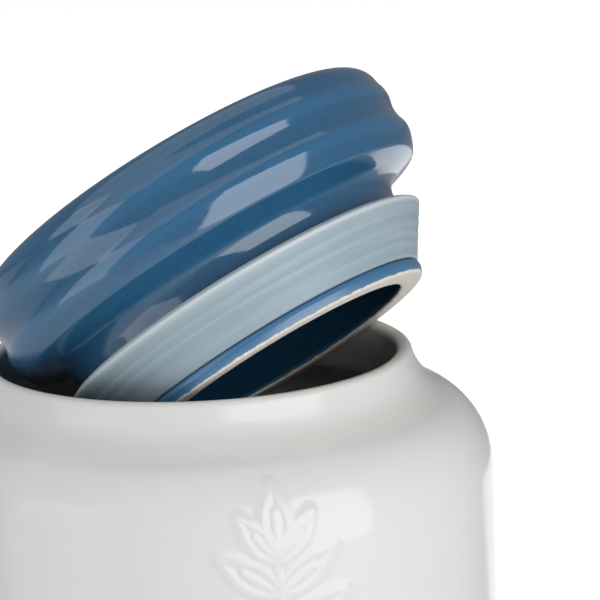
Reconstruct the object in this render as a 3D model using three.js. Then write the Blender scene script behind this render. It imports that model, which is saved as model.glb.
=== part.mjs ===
// A ceramic sugar jar in the shape of a preserving jar, with its ribbed lid leaning in the open mouth.
// Millimetres, +Z up. The jar stands on z = 0 with its axis on the Z axis.
import * as THREE from 'three';

// Sizes of the jar
const jarHeight = 156.1;
const bodyRadius = 66.7;
const mouthRadius = 45.2;
const lipInnerRound = 2;
const lipOuterRound = 1.75;
const lipFootTilt = THREE.MathUtils.degToRad(13.9);
const neckFootTilt = THREE.MathUtils.degToRad(63.3);
const shoulderReach = 15.8;
const shoulderDepth = 18.7;
const wallThickness = 5.2;
const mouthWallDepth = 9;
const floorThickness = 6;
const cornerRound = 9;
const innerCornerRound = 7;
const footWidth = 4;
const footRecess = 1.6;
const footSlope = 1.2;

// Sizes of the lid, measured along its own axis from the bottom of its ring
const lidOverhang = 2.95;
const lidHeight = 46.9;
const plugGap = 7.2;
const ringWidth = 6.4;
const ringEdgeRound = 0.7;
const beadRound = 1.4;
const beadTop = 3.5;
const grooveDepth = 1.9;
const grooveTop = 8.2;
const sleeveStep = 0.8;
const sleeveTop = 9.5;
const neckBulge = 3;
const neckFoot = 15.5;
const coveRound = 5.4;
const undersideSlope = THREE.MathUtils.degToRad(18);
const undersideRound = 1.25;
const topInset = 5.77;
const topRound = 5.1;
const topHollow = 6.5;
const midRibRound = 5.75;
const midHollow = 8.4;
const lowRibRound = 4.33;
const lowFaceRound = 15;
const topFootTilt = THREE.MathUtils.degToRad(6);
const stepTilt = THREE.MathUtils.degToRad(20);
const midFaceTilt = THREE.MathUtils.degToRad(17.5);
const lowFaceTilt = THREE.MathUtils.degToRad(15);
const faceFootTilt = THREE.MathUtils.degToRad(31);
const topSinkWidth = 5.5;
const topSinkDepth = 2.6;
const topCrown = 1;
const sinkFootShare = 0.6;
const sinkMiddleShare = 0.4;
const sinkEdgeShare = 0.2;
const sinkDropShare = 0.5;
const lidWall = 6.8;
const lidTopThickness = 4.6;
const cavityTaper = 0.8;
const cavityTop = 20;
const cavityRound = 5;
const roomRise = 2.5;
const roomFloor = 26.2;

// Sizes of the seal
const sealSqueeze = 0.3;
const sealHeight = 14.8;
const sealEdgeThickness = 2.2;
const sealEdgeRound = 0.6;
const fitClearance = 0.3;

// How the lid leans in the mouth
const leanTilt = THREE.MathUtils.degToRad(35.7);
const leanHeading = THREE.MathUtils.degToRad(143.9);
const seatBearing = THREE.MathUtils.degToRad(-29.5);
const ringDrop = 1;
const seatClearance = 0.3;

// How finely the turned shapes are divided
const sides = 60;
const searchSteps = 40;
const joinTolerance = 0.001;

const jarColour = '#dcdcda';
const lidColour = '#3b6f9b';
const sealColour = '#a9bcc6';

function point(radius, height) {
  return new THREE.Vector2(radius, height);
}

// Points on an arc with separate reaches along the radius and the height, angles in degrees
function arc(centreRadius, centreHeight, reach, rise, from, to, steps) {
  const points = [];
  for (let i = 0; i <= steps; i += 1) {
    const angle = THREE.MathUtils.degToRad(from + ((to - from) * i) / steps);
    points.push(point(centreRadius + reach * Math.cos(angle), centreHeight + rise * Math.sin(angle)));
  }
  return points;
}

// Points on a smooth bend from one point to another, pulled towards a corner
function bend(start, corner, end, steps) {
  return new THREE.QuadraticBezierCurve(start, corner, end).getPoints(steps);
}

// Points on a bend that goes on downwards from the last point of a line of points. Its tilts are how
// far the surface faces up there, and a round below zero makes it hollow.
function sweep(points, round, from, to, steps) {
  const start = points[points.length - 1];
  const centreRadius = start.x - round * Math.cos(from);
  const centreHeight = start.y - round * Math.sin(from);
  const fromDegrees = THREE.MathUtils.radToDeg(from);
  const toDegrees = THREE.MathUtils.radToDeg(to);
  return arc(centreRadius, centreHeight, round, round, fromDegrees, toDegrees, steps);
}

function turned(name, profile, material) {
  const kept = profile.filter((p, i) => i === 0 || p.distanceTo(profile[i - 1]) > joinTolerance);
  const mesh = new THREE.Mesh(new THREE.LatheGeometry(kept, sides), material);
  mesh.name = name;
  mesh.geometry.rotateX(Math.PI / 2);
  return mesh;
}

function glaze(colour) {
  return new THREE.MeshStandardMaterial({ color: colour, roughness: 0.15, metalness: 0 });
}

function silicone(colour) {
  return new THREE.MeshStandardMaterial({ color: colour, roughness: 0.45, metalness: 0 });
}

// The jar: foot ring, straight body, round shoulder, hollow neck and rolled lip, with a room inside
function jarProfile() {
  const crestRadius = mouthRadius + lipInnerRound;
  const shoulderRadius = bodyRadius - shoulderReach;
  const shoulderTurn = Math.atan2(
    shoulderDepth * Math.sin(neckFootTilt),
    shoulderReach * Math.cos(neckFootTilt),
  );
  const shoulderEdge = shoulderRadius + shoulderReach * Math.cos(shoulderTurn);
  const lip = sweep([point(crestRadius, jarHeight)], lipOuterRound, Math.PI / 2, lipFootTilt, 4);
  const lipFoot = lip[lip.length - 1];
  const neckRound = (shoulderEdge - lipFoot.x) / (Math.cos(lipFootTilt) - Math.cos(neckFootTilt));
  const neck = sweep(lip, -neckRound, lipFootTilt, neckFootTilt, 5);
  const shoulderBase = neck[neck.length - 1].y - shoulderDepth * Math.sin(shoulderTurn);
  const footRadius = bodyRadius - cornerRound;
  const footInside = footRadius - footWidth;
  const innerReach = shoulderReach - wallThickness;
  const innerDepth = shoulderDepth - wallThickness;
  const innerRadius = bodyRadius - wallThickness;
  const innerTop = shoulderBase + innerDepth;
  const wallFoot = jarHeight - mouthWallDepth;
  return [
    point(0, footRecess),
    point(footInside - footSlope, footRecess),
    point(footInside, 0),
    ...arc(footRadius, cornerRound, cornerRound, cornerRound, -90, 0, 4),
    ...arc(
      shoulderRadius,
      shoulderBase,
      shoulderReach,
      shoulderDepth,
      0,
      THREE.MathUtils.radToDeg(shoulderTurn),
      8,
    ),
    ...neck.reverse(),
    ...lip.reverse(),
    ...arc(crestRadius, jarHeight - lipInnerRound, lipInnerRound, lipInnerRound, 90, 180, 4),
    ...bend(
      point(mouthRadius, wallFoot),
      point(mouthRadius, innerTop),
      point(shoulderRadius, innerTop),
      4,
    ),
    ...arc(shoulderRadius, shoulderBase, innerReach, innerDepth, 72, 0, 5),
    ...arc(
      innerRadius - innerCornerRound,
      floorThickness + innerCornerRound,
      innerCornerRound,
      innerCornerRound,
      0,
      -90,
      3,
    ),
    point(0, floorThickness),
  ];
}

const ringRadius = mouthRadius - plugGap;
const cavityRadius = ringRadius - ringWidth;
const grooveRadius = ringRadius - grooveDepth;
const sleeveRadius = ringRadius + sleeveStep;
const lidNeckRadius = ringRadius + neckBulge;
const lidRadius = mouthRadius + lipInnerRound + lipOuterRound + lidOverhang;

// The lid: a hollow shell with three soft stepped ribs, a cove, a neck, a seal groove, a bead and a flat ring
function lidProfile() {
  const rimRadius = lidRadius - topInset;
  const sinkHeight = lidHeight - topSinkDepth;
  const ceiling = sinkHeight - lidTopThickness;
  const roomRadius = lidRadius - lidWall;
  const sinkFoot = point(rimRadius - topSinkWidth * sinkFootShare, sinkHeight);
  const sinkMiddle = point(
    rimRadius - topSinkWidth * sinkMiddleShare,
    lidHeight - topSinkDepth * sinkDropShare,
  );
  const sinkEdge = point(rimRadius - topSinkWidth * sinkEdgeShare, lidHeight);
  const rim = point(rimRadius, lidHeight);
  const topRib = sweep([rim], topRound, Math.PI / 2, topFootTilt, 5);
  const topValley = sweep(topRib, -topHollow, topFootTilt, stepTilt, 3);
  const midRib = sweep(topValley, midRibRound, stepTilt, -midFaceTilt, 5);
  const midValley = sweep(midRib, -midHollow, -midFaceTilt, stepTilt, 4);
  const lowRib = sweep(midValley, lowRibRound, stepTilt, -lowFaceTilt, 4);
  const lowFace = sweep(lowRib, lowFaceRound, -lowFaceTilt, -faceFootTilt, 3);
  const foot = sweep(lowFace, undersideRound, -faceFootTilt, undersideSlope - Math.PI / 2, 3);
  const edge = foot[foot.length - 1];
  const coveRadius = lidNeckRadius + coveRound * (1 - Math.sin(undersideSlope));
  const coveHeight = edge.y - (edge.x - coveRadius) * Math.tan(undersideSlope);
  const neckTop = coveHeight - coveRound * Math.cos(undersideSlope);
  const coveStart = 90 + THREE.MathUtils.radToDeg(undersideSlope);
  return [
    point(0, sinkHeight + topCrown),
    ...bend(point(rimRadius - topSinkWidth, sinkHeight), sinkFoot, sinkMiddle, 3),
    ...bend(sinkMiddle, sinkEdge, rim, 3),
    ...topRib,
    ...topValley,
    ...midRib,
    ...midValley,
    ...lowRib,
    ...lowFace,
    ...foot,
    ...arc(lidNeckRadius + coveRound, neckTop, coveRound, coveRound, coveStart, 180, 4),
    point(lidNeckRadius, neckFoot),
    point(sleeveRadius, sleeveTop),
    point(sleeveRadius, grooveTop),
    point(grooveRadius, grooveTop),
    point(grooveRadius, beadTop),
    ...arc(ringRadius - beadRound, beadTop - beadRound, beadRound, beadRound, 90, -30, 5),
    point(ringRadius - ringEdgeRound, 0),
    point(cavityRadius + ringEdgeRound, 0),
    point(cavityRadius, ringEdgeRound),
    point(cavityRadius + cavityTaper, cavityTop - cavityRound),
    ...bend(
      point(cavityRadius + cavityTaper, cavityTop),
      point(roomRadius, cavityTop + roomRise),
      point(roomRadius, roomFloor + cavityRound),
      4,
    ),
    ...arc(roomRadius - cavityRound, ceiling - cavityRound, cavityRound, cavityRound, 0, 90, 3),
    point(0, ceiling),
  ].reverse();
}

// The seal: a soft sleeve in the lid's groove with a skirt that flares up and out to a thick free edge
function sealProfile() {
  const foot = beadTop + fitClearance;
  const insideRadius = grooveRadius + fitClearance;
  const shoulder = grooveTop - fitClearance;
  const outsideRadius = ringRadius + fitClearance;
  const freeRadius = mouthRadius + sealSqueeze;
  const flare = Math.atan2(freeRadius - outsideRadius, sealHeight - foot);
  const edge = point(
    freeRadius - sealEdgeThickness * Math.cos(flare),
    sealHeight + sealEdgeThickness * Math.sin(flare),
  );
  const skirtInside = sleeveRadius + fitClearance;
  const along = point(Math.sin(flare), Math.cos(flare)).multiplyScalar(sealEdgeRound);
  const across = point(Math.cos(flare), -Math.sin(flare)).multiplyScalar(sealEdgeRound);
  const outerEdge = point(freeRadius, sealHeight);
  return [
    point(insideRadius, foot),
    point(outsideRadius, foot),
    outerEdge.clone().sub(along),
    outerEdge.clone().sub(across),
    edge.clone().add(across),
    edge.clone().sub(along),
    point(skirtInside, shoulder),
    point(insideRadius, shoulder),
    point(insideRadius, foot),
  ];
}

// Where a point of the leaning lid lies in the jar's frame, for a lid whose ring is centred at a distance
function leaned(radius, height, angle, distance) {
  return new THREE.Vector3(radius * Math.cos(angle), radius * Math.sin(angle), height)
    .applyAxisAngle(new THREE.Vector3(0, 1, 0), leanTilt)
    .applyAxisAngle(new THREE.Vector3(0, 0, 1), leanHeading)
    .add(leanCentre(distance));
}

function leanCentre(distance) {
  return new THREE.Vector3(
    distance * Math.cos(seatBearing),
    distance * Math.sin(seatBearing),
    jarHeight - ringDrop,
  );
}

// The room between a round edge of the leaning lid and the round inner edge of the jar's lip
function edgeGap(radius, height, round, distance) {
  const roundHeight = jarHeight - lipInnerRound;
  let least = Infinity;
  for (let angle = 0; angle < 360; angle += 1) {
    const spot = leaned(radius - round, height, THREE.MathUtils.degToRad(angle), distance);
    const rise = Math.max(spot.z - roundHeight, 0);
    const reach = Math.max(mouthRadius + lipInnerRound - Math.hypot(spot.x, spot.y), 0);
    least = Math.min(least, Math.hypot(rise, reach) - lipInnerRound - round);
  }
  return least;
}

function seatGap(distance) {
  const beadGap = edgeGap(ringRadius, beadTop - beadRound, beadRound, distance);
  const ringGap = edgeGap(ringRadius - ringEdgeRound, 0, 0, distance);
  return Math.min(beadGap, ringGap);
}

// The ring moves out from the jar's axis until its bead meets the lip
function seatDistance() {
  let near = 0;
  let far = mouthRadius;
  for (let i = 0; i < searchSteps; i += 1) {
    const middle = (near + far) / 2;
    if (seatGap(middle) > seatClearance) {
      near = middle;
    } else {
      far = middle;
    }
  }
  return near;
}

const group = new THREE.Group();
group.add(turned('jar_body', jarProfile(), glaze(jarColour)));

const tilted = new THREE.Group();
tilted.rotation.y = leanTilt;
tilted.add(turned('lid_shell', lidProfile(), glaze(lidColour)));
tilted.add(turned('lid_seal', sealProfile(), silicone(sealColour)));

const lid = new THREE.Group();
lid.position.copy(leanCentre(seatDistance()));
lid.rotation.z = leanHeading;
lid.add(tilted);
group.add(lid);

export default group;
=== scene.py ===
# A ceramic sugar jar with its ribbed blue lid leaning in the open mouth, dressed for looks.
# Metres, +Z up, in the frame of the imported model.
from math import atan2, cos, degrees, hypot, pi, radians, sin, sqrt, tan

import bmesh
import bpy
from mathutils import Matrix, Vector
from mathutils.kdtree import KDTree


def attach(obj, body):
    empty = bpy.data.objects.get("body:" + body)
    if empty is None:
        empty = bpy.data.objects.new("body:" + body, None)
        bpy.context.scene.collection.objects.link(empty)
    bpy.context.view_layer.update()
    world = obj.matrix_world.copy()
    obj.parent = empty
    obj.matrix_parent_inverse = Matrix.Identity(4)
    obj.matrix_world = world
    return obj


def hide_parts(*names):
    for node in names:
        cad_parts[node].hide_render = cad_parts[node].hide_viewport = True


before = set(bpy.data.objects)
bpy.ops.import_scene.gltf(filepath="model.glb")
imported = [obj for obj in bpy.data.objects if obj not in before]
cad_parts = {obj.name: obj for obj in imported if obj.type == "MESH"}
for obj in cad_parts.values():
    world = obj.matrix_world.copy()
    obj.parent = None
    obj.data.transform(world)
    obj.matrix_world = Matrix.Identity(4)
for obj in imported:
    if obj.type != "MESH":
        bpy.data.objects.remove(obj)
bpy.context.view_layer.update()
scene = bpy.context.scene
scene.view_settings.view_transform = "Standard"

# Camera: a long lens a little above the lip, turned slightly about its own axis,
# because the photograph is a part cut out of the side of a larger picture.
camera_place = Vector((0, -0.6622, 0.314))
camera_yaw = radians(2.073)
camera_pitch = radians(-12.55)
camera_roll = radians(-2.2)
camera_lens = 180
camera_sensor = 36
camera_near = 0.01

bpy.ops.object.camera_add(location=camera_place)
camera = bpy.context.object
camera.data.lens = camera_lens
camera.data.sensor_width = camera_sensor
camera.data.clip_start = camera_near
camera_aim = Vector((sin(camera_yaw), cos(camera_yaw), 0)) * cos(camera_pitch)
camera_aim.z = sin(camera_pitch)
camera.rotation_euler = (
    camera_aim.to_track_quat("-Z", "Y").to_matrix() @ Matrix.Rotation(camera_roll, 3, "Z")
).to_euler()
scene.camera = camera


# Floor: one pale sheet that runs back out of sight. It is lifted to white for the camera and,
# behind the jar at the right, for reflections too, because the rest of the studio is dark. It
# still takes the jar's shadow.
floor_reach = 12
floor_tone = 0.74
floor_lift = 0.8
bright_left = 0.08
bright_right = 1.1
bright_reach = 0.6
bright_edge = 0.06


class Wire:
    """A socket of a finish; sums on it add Math nodes."""

    def __init__(self, finish, socket):
        self.finish = finish
        self.socket = socket

    def maths(self, operation, first, second):
        return self.finish.add("ShaderNodeMath", {"operation": operation}, {0: first, 1: second})

    def __add__(self, other):
        return self.maths("ADD", self, other)

    def __radd__(self, other):
        return self.maths("ADD", other, self)

    def __sub__(self, other):
        return self.maths("SUBTRACT", self, other)

    def __rsub__(self, other):
        return self.maths("SUBTRACT", other, self)

    def __mul__(self, other):
        return self.maths("MULTIPLY", self, other)

    def __rmul__(self, other):
        return self.maths("MULTIPLY", other, self)

    def __truediv__(self, other):
        return self.maths("DIVIDE", self, other)

    def __pow__(self, other):
        return self.maths("POWER", self, other)


class Finish:
    """A node tree that is filled one node at a time."""

    def __init__(self, tree):
        self.tree = tree

    def add(self, kind, settings=None, sockets=None, output=0):
        """One node: its settings are set first, then the values or links of its sockets."""
        node = self.tree.nodes.new(kind)
        for name, value in (settings or {}).items():
            setattr(node, name, value)
        for name, value in (sockets or {}).items():
            self.put(node.inputs[name], value)
        return Wire(self, node.outputs[output])

    def put(self, socket, value):
        if isinstance(value, Wire):
            self.tree.links.new(value.socket, socket)
        else:
            socket.default_value = value

    def mix(self, factor, first, second):
        settings = {"data_type": "RGBA", "clamp_factor": True}
        return self.add("ShaderNodeMix", settings, {0: factor, 6: first, 7: second}, 2)

    def step(self, value, low, high):
        """0 below low, 1 above high, and a smooth rise between them."""
        sockets = {"Value": value, "From Min": low, "From Max": high}
        return self.add("ShaderNodeMapRange", {"interpolation_type": "SMOOTHSTEP"}, sockets)

    def noise(self, place, scale, detail=2.0, roughness=0.5):
        sockets = {"Vector": place, "Scale": scale, "Detail": detail, "Roughness": roughness}
        return self.add("ShaderNodeTexNoise", {}, sockets)


def grey(level):
    return (level, level, level, 1)


def new_material(name):
    material = bpy.data.materials.new(name)
    material.use_nodes = True
    material.node_tree.nodes.clear()
    return material, Finish(material.node_tree)


def close(finish, shader):
    """Links a shader to the material's output."""
    output = finish.tree.nodes.new("ShaderNodeOutputMaterial")
    finish.put(output.inputs["Surface"], shader)


def seen_straight(finish, mirrored):
    """1 for rays from the camera and through clear things, mirrored for rays from glossy surfaces."""
    camera_ray = finish.add("ShaderNodeLightPath", {}, {}, "Is Camera Ray")
    glossy_ray = finish.add("ShaderNodeLightPath", {}, {}, "Is Glossy Ray")
    clear_ray = finish.add("ShaderNodeLightPath", {}, {}, "Is Transmission Ray")
    return camera_ray + clear_ray + glossy_ray * mirrored


bpy.ops.object.select_all(action="DESELECT")
bpy.ops.mesh.primitive_plane_add(size=floor_reach)
floor = bpy.context.object
floor.name = "floor"
floor_material, finish = new_material("pale_floor")
flat = finish.add("ShaderNodeBsdfDiffuse", {}, {"Color": grey(floor_tone)})
spot = finish.add("ShaderNodeTexCoord", {}, {}, "Object")
side = finish.add("ShaderNodeSeparateXYZ", {}, {0: spot}, "X")
depth = finish.add("ShaderNodeSeparateXYZ", {}, {0: spot}, "Y")
reach = (side * side + depth * depth) ** 0.5
bright = finish.step(side, bright_left, bright_left + bright_edge)
bright = bright * finish.step(depth * bright_right - side, 0, bright_edge)
bright = bright * (1 - finish.step(reach, bright_reach, bright_reach + bright_edge))
lift = seen_straight(finish, bright) * floor_lift
glow = finish.add("ShaderNodeEmission", {}, {"Color": grey(1), "Strength": lift})
close(finish, finish.add("ShaderNodeAddShader", {}, {0: flat, 1: glow}))
floor.data.materials.append(floor_material)

# Light: a tall soft panel at the front right and a lower, dimmer one at the left, both standing
# on the table, broad weak ones overhead and behind at the left, and an even, dimmer room.
light_target = Vector((0.01, -0.005, 0.165))
room_level = 0.24


def soft_panel(name, azimuth, elevation, distance, width, height, level, turn=0):
    """A rectangular lamp that faces the lid; level is how bright its face looks, with 1 as white."""
    heading, rise = radians(azimuth), radians(elevation)
    away = Vector((cos(heading) * cos(rise), sin(heading) * cos(rise), sin(rise)))
    bpy.ops.object.light_add(type="AREA", location=light_target + distance * away)
    lamp = bpy.context.object
    lamp.name = name
    facing = away.to_track_quat("Z", "Y").to_matrix() @ Matrix.Rotation(radians(turn), 3, "Z")
    lamp.rotation_euler = facing.to_euler()
    lamp.data.shape = "RECTANGLE"
    lamp.data.size = width
    lamp.data.size_y = height
    lamp.data.energy = level * pi * width * height
    lamp.visible_camera = False
    return lamp


soft_panel(
    "front_right_panel", azimuth=-52, elevation=8, distance=0.45, width=0.42, height=0.44, level=2.55
)
soft_panel("left_panel", azimuth=-146, elevation=2, distance=0.36, width=0.25, height=0.34, level=1.05)
soft_panel(
    "overhead_panel", azimuth=-177, elevation=70, distance=0.96, width=2.2, height=1.2, level=0.5, turn=133
)
back_panel = soft_panel(
    "back_panel", azimuth=128, elevation=28, distance=1.2, width=1.3, height=1.0, level=1.0
)
back_panel.visible_glossy = False

world = bpy.data.worlds.new("pale_room")
scene.world = world
world.use_nodes = True
world.node_tree.nodes.clear()
finish = Finish(world.node_tree)
camera_ray = finish.add("ShaderNodeLightPath", {}, {}, "Is Camera Ray")
room_light = camera_ray * (1 - room_level) + room_level
room = finish.add("ShaderNodeBackground", {}, {"Color": grey(1), "Strength": room_light})
world_output = world.node_tree.nodes.new("ShaderNodeOutputWorld")
finish.put(world_output.inputs["Surface"], room)

# Jar: one cast piece of ceramic with a rolled lip, a hollow neck, a round shoulder and a
# straight body, glazed white inside and out. Its foot ring is wiped bare of glaze.
jar_height = 0.1561
body_radius = 0.0667
mouth_radius = 0.0452
lip_inner_round = 0.002
lip_outer_round = 0.00175
lip_foot_tilt = 13.9
neck_foot_tilt = 63.3
shoulder_reach = 0.0158
shoulder_depth = 0.0187
wall_thickness = 0.0052
mouth_wall_depth = 0.009
floor_thickness = 0.006
corner_round = 0.009
inner_corner_round = 0.007
foot_width = 0.004
foot_recess = 0.0016
foot_slope = 0.0012
foot_edge_round = 0.0005
inner_shoulder_turn = 72
plain_height = 0.1
merge_distance = 1e-6
seed_size = 0.001

crest_radius = mouth_radius + lip_inner_round
shoulder_radius = body_radius - shoulder_reach
turned_sides = 288


def arc(radius, height, reach, rise, start, end, steps):
    """Points on an arc about (radius, height), with its angles in degrees."""
    turns = [radians(start + (end - start) * i / steps) for i in range(steps + 1)]
    return [(radius + reach * cos(turn), height + rise * sin(turn)) for turn in turns]


def bend(start, corner, end, steps):
    """Points on a smooth bend from start to end, pulled towards corner."""
    shares = [i / steps for i in range(steps + 1)]
    return [
        tuple(
            (1 - share) ** 2 * a + 2 * share * (1 - share) * b + share**2 * c
            for a, b, c in zip(start, corner, end)
        )
        for share in shares
    ]


def line(start, end, steps):
    """Points from start to end, without the last one."""
    return [tuple(a + (b - a) * i / steps for a, b in zip(start, end)) for i in range(steps)]


def sweep(outline, bend_round, start, end, steps):
    """Goes on downwards from the outline's last point; tilts are how far the surface faces up, in degrees."""
    radius, height = outline[-1]
    centre = (radius - bend_round * cos(radians(start)), height - bend_round * sin(radians(start)))
    outline.extend(arc(*centre, bend_round, bend_round, start, end, steps)[1:])


def turned(name, outline, closed=False):
    """Draws the outline point by point from a single vertex and spins it about the Z axis."""
    bpy.ops.object.select_all(action="DESELECT")
    bpy.ops.mesh.primitive_plane_add(size=seed_size)
    piece = bpy.context.object
    piece.name = name
    bpy.ops.object.mode_set(mode="EDIT")
    bpy.ops.mesh.select_mode(type="VERT")
    bpy.ops.mesh.select_all(action="SELECT")
    bpy.ops.mesh.merge(type="CENTER")
    radius, height = outline[0]
    bpy.ops.transform.translate(value=(radius, 0, height))
    points = outline[1:] + (outline[:1] if closed else [])
    for next_radius, next_height in points:
        if hypot(next_radius - radius, next_height - height) < merge_distance:
            continue
        step = (next_radius - radius, 0, next_height - height)
        bpy.ops.mesh.extrude_region_move(TRANSFORM_OT_translate={"value": step})
        radius, height = next_radius, next_height
    bpy.ops.mesh.select_all(action="SELECT")
    bpy.ops.mesh.spin(steps=turned_sides, angle=2 * pi, center=(0, 0, 0), axis=(0, 0, 1))
    bpy.ops.mesh.select_all(action="SELECT")
    bpy.ops.mesh.remove_doubles(threshold=merge_distance)
    bpy.ops.mesh.normals_make_consistent(inside=False)
    bpy.ops.object.mode_set(mode="OBJECT")
    bpy.ops.object.shade_smooth()
    return piece


def mouth_outline():
    """The outside of the lip and the neck, from the crest down to the top of the shoulder."""
    outline = [(crest_radius, jar_height)]
    sweep(outline, lip_outer_round, 90, lip_foot_tilt, 16)
    shoulder_edge = shoulder_radius + shoulder_reach * cos(shoulder_turn)
    narrowing = cos(radians(lip_foot_tilt)) - cos(radians(neck_foot_tilt))
    sweep(outline, (outline[-1][0] - shoulder_edge) / narrowing, lip_foot_tilt, neck_foot_tilt, 30)
    return outline


shoulder_turn = atan2(
    shoulder_depth * sin(radians(neck_foot_tilt)),
    shoulder_reach * cos(radians(neck_foot_tilt)),
)
shoulder_top = mouth_outline()[-1][1]
shoulder_base = shoulder_top - shoulder_depth * sin(shoulder_turn)


def jar_outline():
    foot_radius = body_radius - corner_round
    foot_inside = foot_radius - foot_width
    inner_radius = body_radius - wall_thickness
    inner_reach = shoulder_reach - wall_thickness
    inner_depth = shoulder_depth - wall_thickness
    inner_top = shoulder_base + inner_depth
    wall_foot = jar_height - mouth_wall_depth
    return [
        *line((0, foot_recess), (foot_inside - foot_slope, foot_recess), 8),
        *bend(
            (foot_inside - foot_slope, foot_recess),
            (foot_inside, 0),
            (foot_inside + foot_edge_round, 0),
            6,
        ),
        *arc(foot_radius, corner_round, corner_round, corner_round, -90, 0, 20),
        *line((body_radius, corner_round), (body_radius, plain_height), 16)[1:],
        *line((body_radius, plain_height), (body_radius, shoulder_base), 14),
        *arc(
            shoulder_radius,
            shoulder_base,
            shoulder_reach,
            shoulder_depth,
            0,
            degrees(shoulder_turn),
            36,
        ),
        *mouth_outline()[::-1],
        *arc(crest_radius, jar_height - lip_inner_round, lip_inner_round, lip_inner_round, 90, 180, 14)[1:],
        *bend((mouth_radius, wall_foot), (mouth_radius, inner_top), (shoulder_radius, inner_top), 10),
        *arc(shoulder_radius, shoulder_base, inner_reach, inner_depth, inner_shoulder_turn, 0, 14),
        *line((inner_radius, shoulder_base), (inner_radius, floor_thickness + inner_corner_round), 10)[1:],
        *arc(
            inner_radius - inner_corner_round,
            floor_thickness + inner_corner_round,
            inner_corner_round,
            inner_corner_round,
            0,
            -90,
            10,
        ),
        *line((inner_radius - inner_corner_round, floor_thickness), (0, floor_thickness), 12)[1:],
        (0, floor_thickness),
    ]


jar = turned("jar", jar_outline())

# Raised ornament of the jar: a plain upright sprig of leaf outlines, drawn in slip under
# the glaze, so it stands under a millimetre proud with soft sides.
sprig_azimuth = radians(-77)
sprig_base = 0.1056
sprig_reach = 0.0355
stroke_width = 0.0014
stroke_height = 0.0005
stroke_softness = 1.3
stem_share = 0.62
stem_sway = 0.0006
leaf_shoulder = 0.8
tip_fullness = 0.2
side_fullness = 0.17
side_leaves = ((0.9, 40, 0.0125), (0.58, 55, 0.0155), (0.2, 64, 0.0165))
leaf_steps = 24
midrib_start_share = 0.08
midrib_step_share = 0.03
midrib_points = 18
stem_steps = 60
stem_waves = 1.5
patch_half_width = 0.0225
patch_bottom = 0.102
patch_top = 0.1438
patch_cuts = 4


def jar_radius(height):
    """The radius of the jar's outside on its body and shoulder."""
    rise = max(0.0, (height - shoulder_base) / shoulder_depth)
    return shoulder_radius + shoulder_reach * sqrt(max(0.0, 1 - rise**2))


def on_jar(across, up):
    """The point of the jar's outside that lies that far beside and above the sprig's base."""
    turn = sprig_azimuth + across / body_radius
    height = sprig_base + up
    radius = jar_radius(height)
    return Vector((radius * cos(turn), radius * sin(turn), height))


def leaf(root, lean, length, fullness):
    """A pointed leaf outline and its short midrib, as points beside and above the sprig's base."""
    lean = radians(lean)
    along = (sin(lean), cos(lean))
    beside = (cos(lean), -sin(lean))
    outline = []
    for i in range(2 * leaf_steps + 1):
        share = i / leaf_steps
        reach = share if share <= 1 else 2 - share
        side = 1 if share <= 1 else -1
        swell = side * fullness * length * sin(pi * reach**leaf_shoulder)
        outline.append(
            (
                root[0] + along[0] * reach * length + beside[0] * swell,
                root[1] + along[1] * reach * length + beside[1] * swell,
            )
        )
    midrib = [
        (root[0] + along[0] * length * share, root[1] + along[1] * length * share)
        for share in [midrib_start_share + midrib_step_share * i for i in range(midrib_points)]
    ]
    return outline + midrib


def sprig():
    """The stem, a leaf at its tip and three pairs of leaves that grow longer downwards."""
    stem_reach = sprig_reach * stem_share
    shares = [i / stem_steps for i in range(stem_steps + 1)]
    points = [(stem_sway * sin(stem_waves * pi * share), stem_reach * share) for share in shares]
    points += leaf((0, stem_reach), 0, sprig_reach - stem_reach, tip_fullness)
    for root_share, lean, length in side_leaves:
        for side in (-1, 1):
            points += leaf((0, stem_reach * root_share), side * lean, length, side_fullness)
    return points


def raise_sprig(piece):
    """Divides the patch under the sprig finely and lifts it along the strokes."""
    bpy.ops.object.mode_set(mode="EDIT")
    bpy.ops.mesh.select_all(action="DESELECT")
    bpy.ops.mesh.select_mode(type="FACE")
    form = bmesh.from_edit_mesh(piece.data)
    half_turn = patch_half_width / body_radius
    for face in form.faces:
        middle = face.calc_center_median()
        turn = atan2(middle.y, middle.x) - sprig_azimuth
        outside = hypot(middle.x, middle.y) > shoulder_radius
        face.select = (
            outside
            and abs(turn) < half_turn
            and patch_bottom < middle.z < patch_top
            and face.normal.dot(Vector((middle.x, middle.y, 0))) > 0
        )
    bmesh.update_edit_mesh(piece.data)
    bpy.ops.mesh.subdivide(number_cuts=patch_cuts)
    form = bmesh.from_edit_mesh(piece.data)
    points = [on_jar(across, up) for across, up in sprig()]
    strokes = KDTree(len(points))
    for i, spot in enumerate(points):
        strokes.insert(spot, i)
    strokes.balance()
    for corner in form.verts:
        if not corner.select:
            continue
        radius = jar_radius(corner.co.z)
        scale = radius / hypot(corner.co.x, corner.co.y)
        corner.co.x *= scale
        corner.co.y *= scale
        distance = strokes.find(corner.co)[2]
        if distance < 2 * stroke_width:
            swell = 0.5 + 0.5 * cos(pi * distance / (2 * stroke_width))
            corner.co += corner.normal * stroke_height * swell**stroke_softness
    bmesh.update_edit_mesh(piece.data)
    bpy.ops.object.mode_set(mode="OBJECT")


raise_sprig(jar)

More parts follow.
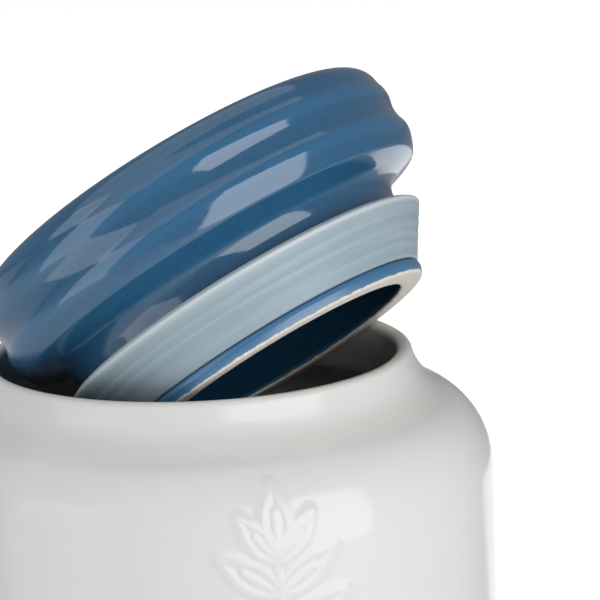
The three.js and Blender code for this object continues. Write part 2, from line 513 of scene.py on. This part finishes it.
# Glaze of the jar: poured white inside and out over the raised strokes. It gathers a little below
# the neck, runs thin on the lip's crest, has shade painted into it inside the mouth, and stops above the bare
# foot ring.
white_light = "#e2e2e1"
white_shade = "#dedfdd"
white_pooled = "#d2d3ce"
white_thin = "#e1ddd3"
# painted shade for the inside of the mouth
white_painted_shade_inside = "#8f8776"
white_grit = "#cfc9bd"
bare_clay = "#d9d2c8"
pool_rise = (-0.001, 0.002)
pool_fall = (0.003, 0.007)
thin_depth = 0.0012
inside_shade_reach = (-0.0004, 0.0002)
inside_shade_depth = (-0.006, -0.003)
bare_edge = (0.0001, 0.0003)
bare_raggedness = 0.0006
white_roughness = 0.13
white_bare_roughness = 0.6
white_specular = 0.45
white_ripple = 0.00006
white_fine_ripple = 0.000006
clay_grain = 0.00005


def tint(code):
    """A colour written as on a screen, turned into the shader's linear values."""
    levels = [int(code[i : i + 2], 16) / 255 for i in (1, 3, 5)]
    return (*[((level + 0.055) / 1.055) ** 2.4 if level > 0.04 else level / 12.92 for level in levels], 1)


def principled(name):
    """A material with one Principled shader, and the finish that fills its nodes."""
    material = bpy.data.materials.new(name)
    material.use_nodes = True
    finish = Finish(material.node_tree)
    return material, finish, material.node_tree.nodes["Principled BSDF"].inputs


def level_place(finish, place):
    """The place without its height."""
    flat_scale = {"Vector": place, "Scale": (1, 1, 0)}
    return finish.add("ShaderNodeMapping", {"vector_type": "POINT"}, flat_scale)


def white_glaze():
    """The white glaze, with its pool under the neck, its thin crest, shade painted inside the mouth and its
    bare foot.
    """
    material, finish, sockets = principled("white_glaze")
    place = finish.add("ShaderNodeTexCoord", {}, {}, "Object")
    height = finish.add("ShaderNodeSeparateXYZ", {}, {0: place}, "Z")
    cloud = finish.noise(place, 28, 3)
    over_pool = height - shoulder_top
    pool = finish.step(over_pool, *pool_rise) * (1 - finish.step(over_pool, *pool_fall))
    thin = finish.step(height, jar_height - thin_depth, jar_height)
    radius = finish.add("ShaderNodeVectorMath", {"operation": "LENGTH"}, {0: level_place(finish, place)}, 1)
    # painted shade: the white glaze is darkened inside the mouth, below the lip, where the jar's own shade
    # falls
    inside = 1 - finish.step(radius - mouth_radius, *inside_shade_reach)
    inside = inside * (1 - finish.step(height - jar_height, *inside_shade_depth))
    colour = finish.mix(cloud, tint(white_light), tint(white_shade))
    colour = finish.mix(pool * 0.5, colour, tint(white_pooled))
    colour = finish.mix(thin * 0.5, colour, tint(white_thin))
    colour = finish.mix(inside * 0.85, colour, tint(white_painted_shade_inside))
    grit = finish.noise(place, 1500, 2)
    ragged = finish.noise(place, 500, 3)
    bare = 1 - finish.step(height - ragged * bare_raggedness, *bare_edge)
    colour = finish.mix(finish.step(grit, 0.66, 0.76) * 0.12, colour, tint(white_grit))
    finish.put(sockets["Base Color"], finish.mix(bare, colour, tint(bare_clay)))
    dull = bare * white_bare_roughness + finish.step(cloud, 0.3, 0.7) * 0.04
    finish.put(sockets["Roughness"], dull + white_roughness)
    sockets["Specular IOR Level"].default_value = white_specular
    ripple = finish.noise(place, 70, 2) * white_ripple + finish.noise(place, 420, 2) * white_fine_ripple
    ripple = ripple + bare * grit * clay_grain
    bump = finish.add("ShaderNodeBump", {}, {"Strength": 0.5, "Distance": 1.0, "Height": ripple})
    finish.put(sockets["Normal"], bump)
    return material


jar.data.materials.append(white_glaze())
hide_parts("jar_body")
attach(jar, "jar")

# Lid: one hollow piece of ceramic with three soft ribs, a neck, a groove for the seal and a
# bead. It is glazed mottled blue all over, apart from the flat ring it was fired on.
lid_radius = 0.0519
lid_height = 0.0469
ring_radius = 0.038
ring_width = 0.0064
ring_edge_round = 0.0007
bead_round = 0.0014
bead_top = 0.0035
groove_depth = 0.0019
groove_top = 0.0082
sleeve_step = 0.0008
sleeve_top = 0.0095
neck_bulge = 0.003
neck_foot = 0.0155
cove_round = 0.0054
underside_slope = 18
underside_round = 0.00125
top_inset = 0.00577
top_round = 0.0051
top_hollow = 0.0065
mid_rib_round = 0.00575
mid_hollow = 0.0084
low_rib_round = 0.00433
low_face_round = 0.015
top_foot_tilt = 6
step_tilt = 20
mid_face_tilt = 17.5
low_face_tilt = 15
face_foot_tilt = 31
top_sink_width = 0.0055
top_sink_depth = 0.0026
top_crown = 0.001
lid_wall = 0.0068
lid_top_thickness = 0.0046
cavity_taper = 0.0008
cavity_top = 0.02
cavity_round = 0.005
room_rise = 0.0025
room_floor = 0.0262
room_lean_share = 0.7
sink_flat_share = 0.1
sink_bend_share = 0.6
sink_edge_share = 0.2
sink_middle_share = 0.4
sink_dip_share = 0.12

lean_tilt = radians(35.7)
lean_heading = radians(143.9)
ring_centre = Vector((0.01867, -0.01056, 0.1551))

cavity_radius = ring_radius - ring_width
groove_radius = ring_radius - groove_depth
sleeve_radius = ring_radius + sleeve_step
lid_neck_radius = ring_radius + neck_bulge
lean_turn = Matrix.Rotation(lean_heading, 3, "Z") @ Matrix.Rotation(lean_tilt, 3, "Y")


def lid_face():
    """The ribbed face, from the rim at the top down to the underside of the low rib."""
    outline = [(lid_radius - top_inset, lid_height)]
    sweep(outline, top_round, 90, top_foot_tilt, 24)
    sweep(outline, -top_hollow, top_foot_tilt, step_tilt, 8)
    sweep(outline, mid_rib_round, step_tilt, -mid_face_tilt, 14)
    sweep(outline, -mid_hollow, -mid_face_tilt, step_tilt, 14)
    sweep(outline, low_rib_round, step_tilt, -low_face_tilt, 14)
    sweep(outline, low_face_round, -low_face_tilt, -face_foot_tilt, 12)
    sweep(outline, underside_round, -face_foot_tilt, underside_slope - 90, 8)
    return outline


def lid_outline():
    rim_radius = lid_radius - top_inset
    sink_height = lid_height - top_sink_depth
    ceiling = sink_height - lid_top_thickness
    room_radius = lid_radius - lid_wall
    face = lid_face()
    edge = face[-1]
    slope = radians(underside_slope)
    cove_radius = lid_neck_radius + cove_round * (1 - sin(slope))
    cove_height = edge[1] - (edge[0] - cove_radius) * tan(slope)
    neck_top = cove_height - cove_round * cos(slope)
    room_middle = ((cavity_radius + room_radius) / 2, cavity_top + room_rise * room_lean_share)
    sink_middle = (rim_radius - top_sink_width * sink_middle_share, lid_height - top_sink_depth / 2)
    sink_dip = (
        rim_radius - top_sink_width * sink_bend_share,
        sink_height - top_crown * sink_dip_share,
    )
    sink_edge = (rim_radius - top_sink_width * sink_edge_share, lid_height)
    return [
        (0, sink_height + top_crown),
        *bend(
            (rim_radius * sink_flat_share, sink_height + top_crown),
            (rim_radius * sink_bend_share, sink_height + top_crown),
            (rim_radius - top_sink_width, sink_height),
            16,
        ),
        *bend((rim_radius - top_sink_width, sink_height), sink_dip, sink_middle, 10)[1:],
        *bend(sink_middle, sink_edge, (rim_radius, lid_height), 10)[1:],
        *face[1:],
        *line(edge, (cove_radius, cove_height), 6)[1:],
        *arc(
            lid_neck_radius + cove_round,
            neck_top,
            cove_round,
            cove_round,
            90 + underside_slope,
            180,
            24,
        ),
        *line((lid_neck_radius, neck_top), (lid_neck_radius, neck_foot), 4)[1:],
        *bend((lid_neck_radius, neck_foot), (lid_neck_radius, sleeve_top), (sleeve_radius, sleeve_top), 8),
        (sleeve_radius, groove_top),
        (groove_radius, groove_top),
        (groove_radius, bead_top),
        *arc(ring_radius - bead_round, bead_top - bead_round, bead_round, bead_round, 90, -30, 16),
        *bend(
            (ring_radius - ring_edge_round / 2, ring_edge_round),
            (ring_radius - ring_edge_round, 0),
            (ring_radius - 2 * ring_edge_round, 0),
            5,
        ),
        *line((ring_radius - 2 * ring_edge_round, 0), (cavity_radius + ring_edge_round, 0), 6)[1:],
        *bend(
            (cavity_radius + ring_edge_round, 0),
            (cavity_radius, 0),
            (cavity_radius, ring_edge_round),
            6,
        ),
        *line(
            (cavity_radius, ring_edge_round),
            (cavity_radius + cavity_taper, cavity_top - cavity_round),
            10,
        )[1:],
        *bend(
            (cavity_radius + cavity_taper, cavity_top - cavity_round),
            (cavity_radius + cavity_taper, cavity_top),
            room_middle,
            10,
        ),
        *bend(
            room_middle,
            (room_radius, cavity_top + room_rise),
            (room_radius, room_floor + cavity_round),
            10,
        )[1:],
        *arc(room_radius - cavity_round, ceiling - cavity_round, cavity_round, cavity_round, 0, 90, 10),
        *line((room_radius - cavity_round, ceiling), (0, ceiling), 14)[1:],
        (0, ceiling),
    ]


def lean(piece):
    """Leans a piece that was made upright about the lid's axis, and leaves its place in its mesh."""
    piece.location = ring_centre
    piece.rotation_euler = lean_turn.to_euler()
    bpy.ops.object.select_all(action="DESELECT")
    piece.select_set(True)
    bpy.context.view_layer.objects.active = piece
    bpy.ops.object.transform_apply(location=True, rotation=True, scale=True)


lid = turned("lid", lid_outline())
lean(lid)

# Glaze of the lid: mottled blue, poured over the whole lid. It breaks lighter on the ribs, has light painted
# on the bead and shade painted nearly black inside, and ends raggedly with a pale halo at the bare firing
# ring.
blue_deep = "#29587c"
blue_light = "#2f6288"
blue_crest = "#38719c"
# painted light for the bead
blue_bead_painted_light = "#3f7aa6"
blue_mottle = "#3a6b8f"
blue_speck = "#214868"
# painted shade for the hollow inside the lid
blue_painted_shade_inside = "#0f2738"
blue_halo = "#5d89a8"
bisque_shade = "#ddd5cb"
bisque_light = "#e8e3da"
crest_depth = 0.0005
blue_shade_inside_reach = (0.0014, 0.0018)
blue_shade_inside_top = (0.0045, 0.006)
bead_band_rise = 0.0004
bead_band_reach = (0.0008, 0.0012)
halo_rise = (0.0003, 0.0006)
halo_fall = (0.0008, 0.0015)
ring_glaze_edge = (0.00035, 0.0006)
ring_raggedness = 0.0007
blue_roughness = 0.08
bead_roughness = 0.22
bisque_roughness = 0.6
blue_specular = 0.9
blue_ripple = 0.00008
mottle_relief = 0.000005
bisque_grain = 0.00006


def upright(finish):
    """Places on the leaning lid as if it stood upright: the place, its distance from the axis, its height."""
    place = finish.add("ShaderNodeTexCoord", {}, {}, "Object")
    back = lean_turn.inverted()
    sockets = {"Vector": place, "Location": -(back @ ring_centre), "Rotation": back.to_euler()}
    place = finish.add("ShaderNodeMapping", {"vector_type": "POINT"}, sockets)
    x = finish.add("ShaderNodeSeparateXYZ", {}, {0: place}, "X")
    y = finish.add("ShaderNodeSeparateXYZ", {}, {0: place}, "Y")
    height = finish.add("ShaderNodeSeparateXYZ", {}, {0: place}, "Z")
    return place, (x * x + y * y) ** 0.5, height


def blue_glaze():
    """The mottled blue glaze, in places on the lid as if it stood upright."""
    material, finish, sockets = principled("blue_glaze")
    place, radius, height = upright(finish)
    cloud = finish.noise(place, 45, 3)
    mottle = finish.noise(place, 650, 3, 0.6)
    speck = finish.noise(place, 1900, 2, 0.6)
    crest = finish.step(radius, lid_radius - crest_depth, lid_radius)
    # painted shade: the blue glaze is darkened nearly to black inside the hollow, where little light reaches
    inside = 1 - finish.step(radius - cavity_radius, *blue_shade_inside_reach)
    inside = inside * finish.step(lid_height - height, *blue_shade_inside_top)
    # painted light: the bead is painted a lighter blue for the light it catches facing down and forward; the
    # same band is also made duller
    bead_painted_light_and_dull = 1 - finish.step(height - bead_top, 0, bead_band_rise)
    bead_painted_light_and_dull = bead_painted_light_and_dull * (1 - finish.step(ring_radius - radius, *bead_band_reach))
    colour = finish.mix(cloud, tint(blue_deep), tint(blue_light))
    colour = finish.mix(crest * 0.5, colour, tint(blue_crest))
    colour = finish.mix(bead_painted_light_and_dull * 0.7, colour, tint(blue_bead_painted_light))
    colour = finish.mix(finish.step(mottle, 0.42, 0.7) * 0.3, colour, tint(blue_mottle))
    colour = finish.mix(finish.step(speck, 0.55, 0.72) * 0.25, colour, tint(blue_speck))
    colour = finish.mix(inside * 0.6, colour, tint(blue_painted_shade_inside))
    ragged = finish.noise(place, 420, 3, 0.6)
    border = height - (ragged - 0.5) * ring_raggedness
    bare = 1 - finish.step(border, *ring_glaze_edge)
    grit = finish.noise(place, 1700, 2)
    halo = finish.step(border, *halo_rise) * (1 - finish.step(border, *halo_fall))
    colour = finish.mix(halo * 0.4, colour, tint(blue_halo))
    bisque = finish.mix(finish.step(grit, 0.35, 0.7), tint(bisque_shade), tint(bisque_light))
    finish.put(sockets["Base Color"], finish.mix(bare, colour, bisque))
    dull = bare * bisque_roughness + bead_painted_light_and_dull * bead_roughness + finish.step(mottle, 0.35, 0.7) * 0.04
    finish.put(sockets["Roughness"], dull + blue_roughness)
    sockets["Specular IOR Level"].default_value = blue_specular
    ripple = finish.noise(place, 95, 2) * blue_ripple + mottle * mottle_relief
    ripple = ripple + bare * grit * bisque_grain
    bump = finish.add("ShaderNodeBump", {}, {"Strength": 0.5, "Distance": 1.0, "Height": ripple})
    finish.put(sockets["Normal"], bump)
    return material


lid.data.materials.append(blue_glaze())
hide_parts("lid_shell")
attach(lid, "lid")

# Seal: a soft sleeve of pale blue silicone that sits in the lid's groove. Its skirt flares up
# and out with fine moulded ridges, and ends in a thick free edge that grips the jar's mouth.
seal_squeeze = 0.0003
seal_height = 0.0148
seal_edge_thickness = 0.0022
seal_edge_round = 0.0006
seal_foot_roll = 0.0005
fit_clearance = 0.0003
seal_ridges = 5
seal_ridge_height = 0.00012
ridge_start_share = 0.03
ridge_span_share = 0.9
ridge_steps = 60
silicone_shade = "#90a5b0"
silicone_light = "#98abb5"
silicone_streak = "#b3c0c7"
silicone_edge = "#d2dbdf"
edge_fade = (0.0004, 0.0012)
silicone_roughness = 0.38
silicone_grain = 0.000004
streak_relief = 0.00001
streak_stretch = (0.012, 0.012, 1)

free_radius = mouth_radius + seal_squeeze
seal_foot = bead_top + fit_clearance
seal_outside = ring_radius + fit_clearance
seal_flare = atan2(free_radius - seal_outside, seal_height - seal_foot)


def seal_outline():
    along = (sin(seal_flare), cos(seal_flare))
    across = (cos(seal_flare), -sin(seal_flare))
    slope = hypot(free_radius - seal_outside, seal_height - seal_foot)
    edge_middle = (
        free_radius - across[0] * seal_edge_round - along[0] * seal_edge_round,
        seal_height - across[1] * seal_edge_round - along[1] * seal_edge_round,
    )
    inner_middle = (
        edge_middle[0] - across[0] * (seal_edge_thickness - 2 * seal_edge_round),
        edge_middle[1] - across[1] * (seal_edge_thickness - 2 * seal_edge_round),
    )
    turn = -degrees(seal_flare)
    ridged = []
    for i in range(ridge_steps + 1):
        share = ridge_start_share + ridge_span_share * i / ridge_steps
        wave = cos(2 * pi * seal_ridges * share) - 1
        wave *= seal_ridge_height / 2 * sin(pi * i / ridge_steps) ** 0.5
        ridged.append(
            (
                seal_outside + along[0] * slope * share + across[0] * wave,
                seal_foot + along[1] * slope * share + across[1] * wave,
            )
        )
    skirt_inside = sleeve_radius + fit_clearance
    shoulder = groove_top - fit_clearance
    inside_radius = groove_radius + fit_clearance
    foot_edge = (seal_outside - seal_edge_round, seal_foot - seal_foot_roll)
    return [
        (inside_radius, seal_foot),
        (ring_radius - bead_round, seal_foot),
        *bend(foot_edge, (seal_outside, seal_foot - seal_foot_roll), ridged[0], 6),
        *ridged[1:],
        *arc(*edge_middle, seal_edge_round, seal_edge_round, turn, turn + 90, 8),
        *arc(*inner_middle, seal_edge_round, seal_edge_round, turn + 90, turn + 180, 8),
        *line(
            (inner_middle[0] - across[0] * seal_edge_round, inner_middle[1] - across[1] * seal_edge_round),
            (skirt_inside, shoulder),
            10,
        )[1:],
        (skirt_inside, shoulder),
        (inside_radius, shoulder),
    ]


seal = turned("seal", seal_outline(), closed=True)
lean(seal)


def pale_silicone():
    """Satin pale blue-grey silicone, faintly streaked round the skirt, with a paler free edge."""
    material, finish, sockets = principled("pale_silicone")
    place, _, height = upright(finish)
    stretched = {"Vector": place, "Scale": streak_stretch}
    rings = finish.add("ShaderNodeMapping", {"vector_type": "POINT"}, stretched)
    streak = finish.noise(rings, 620, 2, 0.55)
    cloud = finish.noise(place, 60, 2)
    colour = finish.mix(cloud, tint(silicone_shade), tint(silicone_light))
    colour = finish.mix(finish.step(streak, 0.45, 0.7) * 0.55, colour, tint(silicone_streak))
    edge = 1 - finish.step(seal_height - height, *edge_fade)
    colour = finish.mix(edge * 0.8, colour, tint(silicone_edge))
    finish.put(sockets["Base Color"], colour)
    finish.put(sockets["Roughness"], finish.step(streak, 0.3, 0.7) * 0.08 + silicone_roughness)
    grain = finish.noise(place, 2400, 2) * silicone_grain + streak * streak_relief
    bump = finish.add("ShaderNodeBump", {}, {"Strength": 0.5, "Distance": 1.0, "Height": grain})
    finish.put(sockets["Normal"], bump)
    return material


seal.data.materials.append(pale_silicone())
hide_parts("lid_seal")
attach(seal, "lid")

# Brings the scene's placements up to date
bpy.context.view_layer.update()
